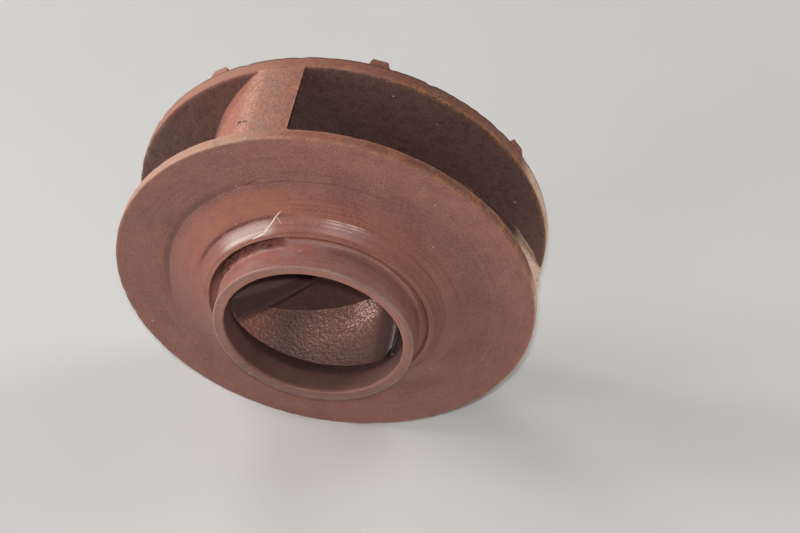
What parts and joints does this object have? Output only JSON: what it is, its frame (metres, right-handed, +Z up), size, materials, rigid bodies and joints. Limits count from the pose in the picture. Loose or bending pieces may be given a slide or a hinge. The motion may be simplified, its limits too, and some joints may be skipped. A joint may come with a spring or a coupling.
{
  "type": "closed pump impeller",
  "caption": "Closed centrifugal pump impeller standing on its rim: two shrouds joined by backward swept vanes, with a suction neck, a hub with a keyed bore and radial ribs on the back.",
  "frame": {"origin": "on the surface that the wheel stands on, below the middle of its width", "axes": "+Y along the shaft from the suction side to the back, +Z up, +X to the right seen from the suction side"},
  "size_m": [0.365, 0.153, 0.365],
  "materials": {
    "turned_casting": "turned, under thin red-brown primer, matt with faint tool marks",
    "neck_ring": "turned, primer worn to grey-brown at the outer edge",
    "primed_casting": "sand-cast skin under red-brown primer, with orange rust at the edges",
    "raw_casting": "rough sand-cast skin under thin primer",
    "bored_hub": "bored and faced iron, lightly rusted"
  },
  "bodies": {
    "root": {"front_rim": "primed_casting", "front_cone": "turned_casting", "front_shoulder": "turned_casting", "suction_neck": "neck_ring", "rear_shroud": "primed_casting", "hub_flare": "raw_casting", "hub_nose": "raw_casting", "hub_boss": "bored_hub", "vane_1": "raw_casting", "vane_2": "raw_casting", "vane_3": "raw_casting", "back_rib_1": "primed_casting", "back_rib_2": "primed_casting", "back_rib_3": "primed_casting", "back_rib_4": "primed_casting", "back_rib_5": "primed_casting", "back_rib_6": "primed_casting", "back_rib_7": "primed_casting", "back_rib_8": "primed_casting"}
  },
  "joints": []
}
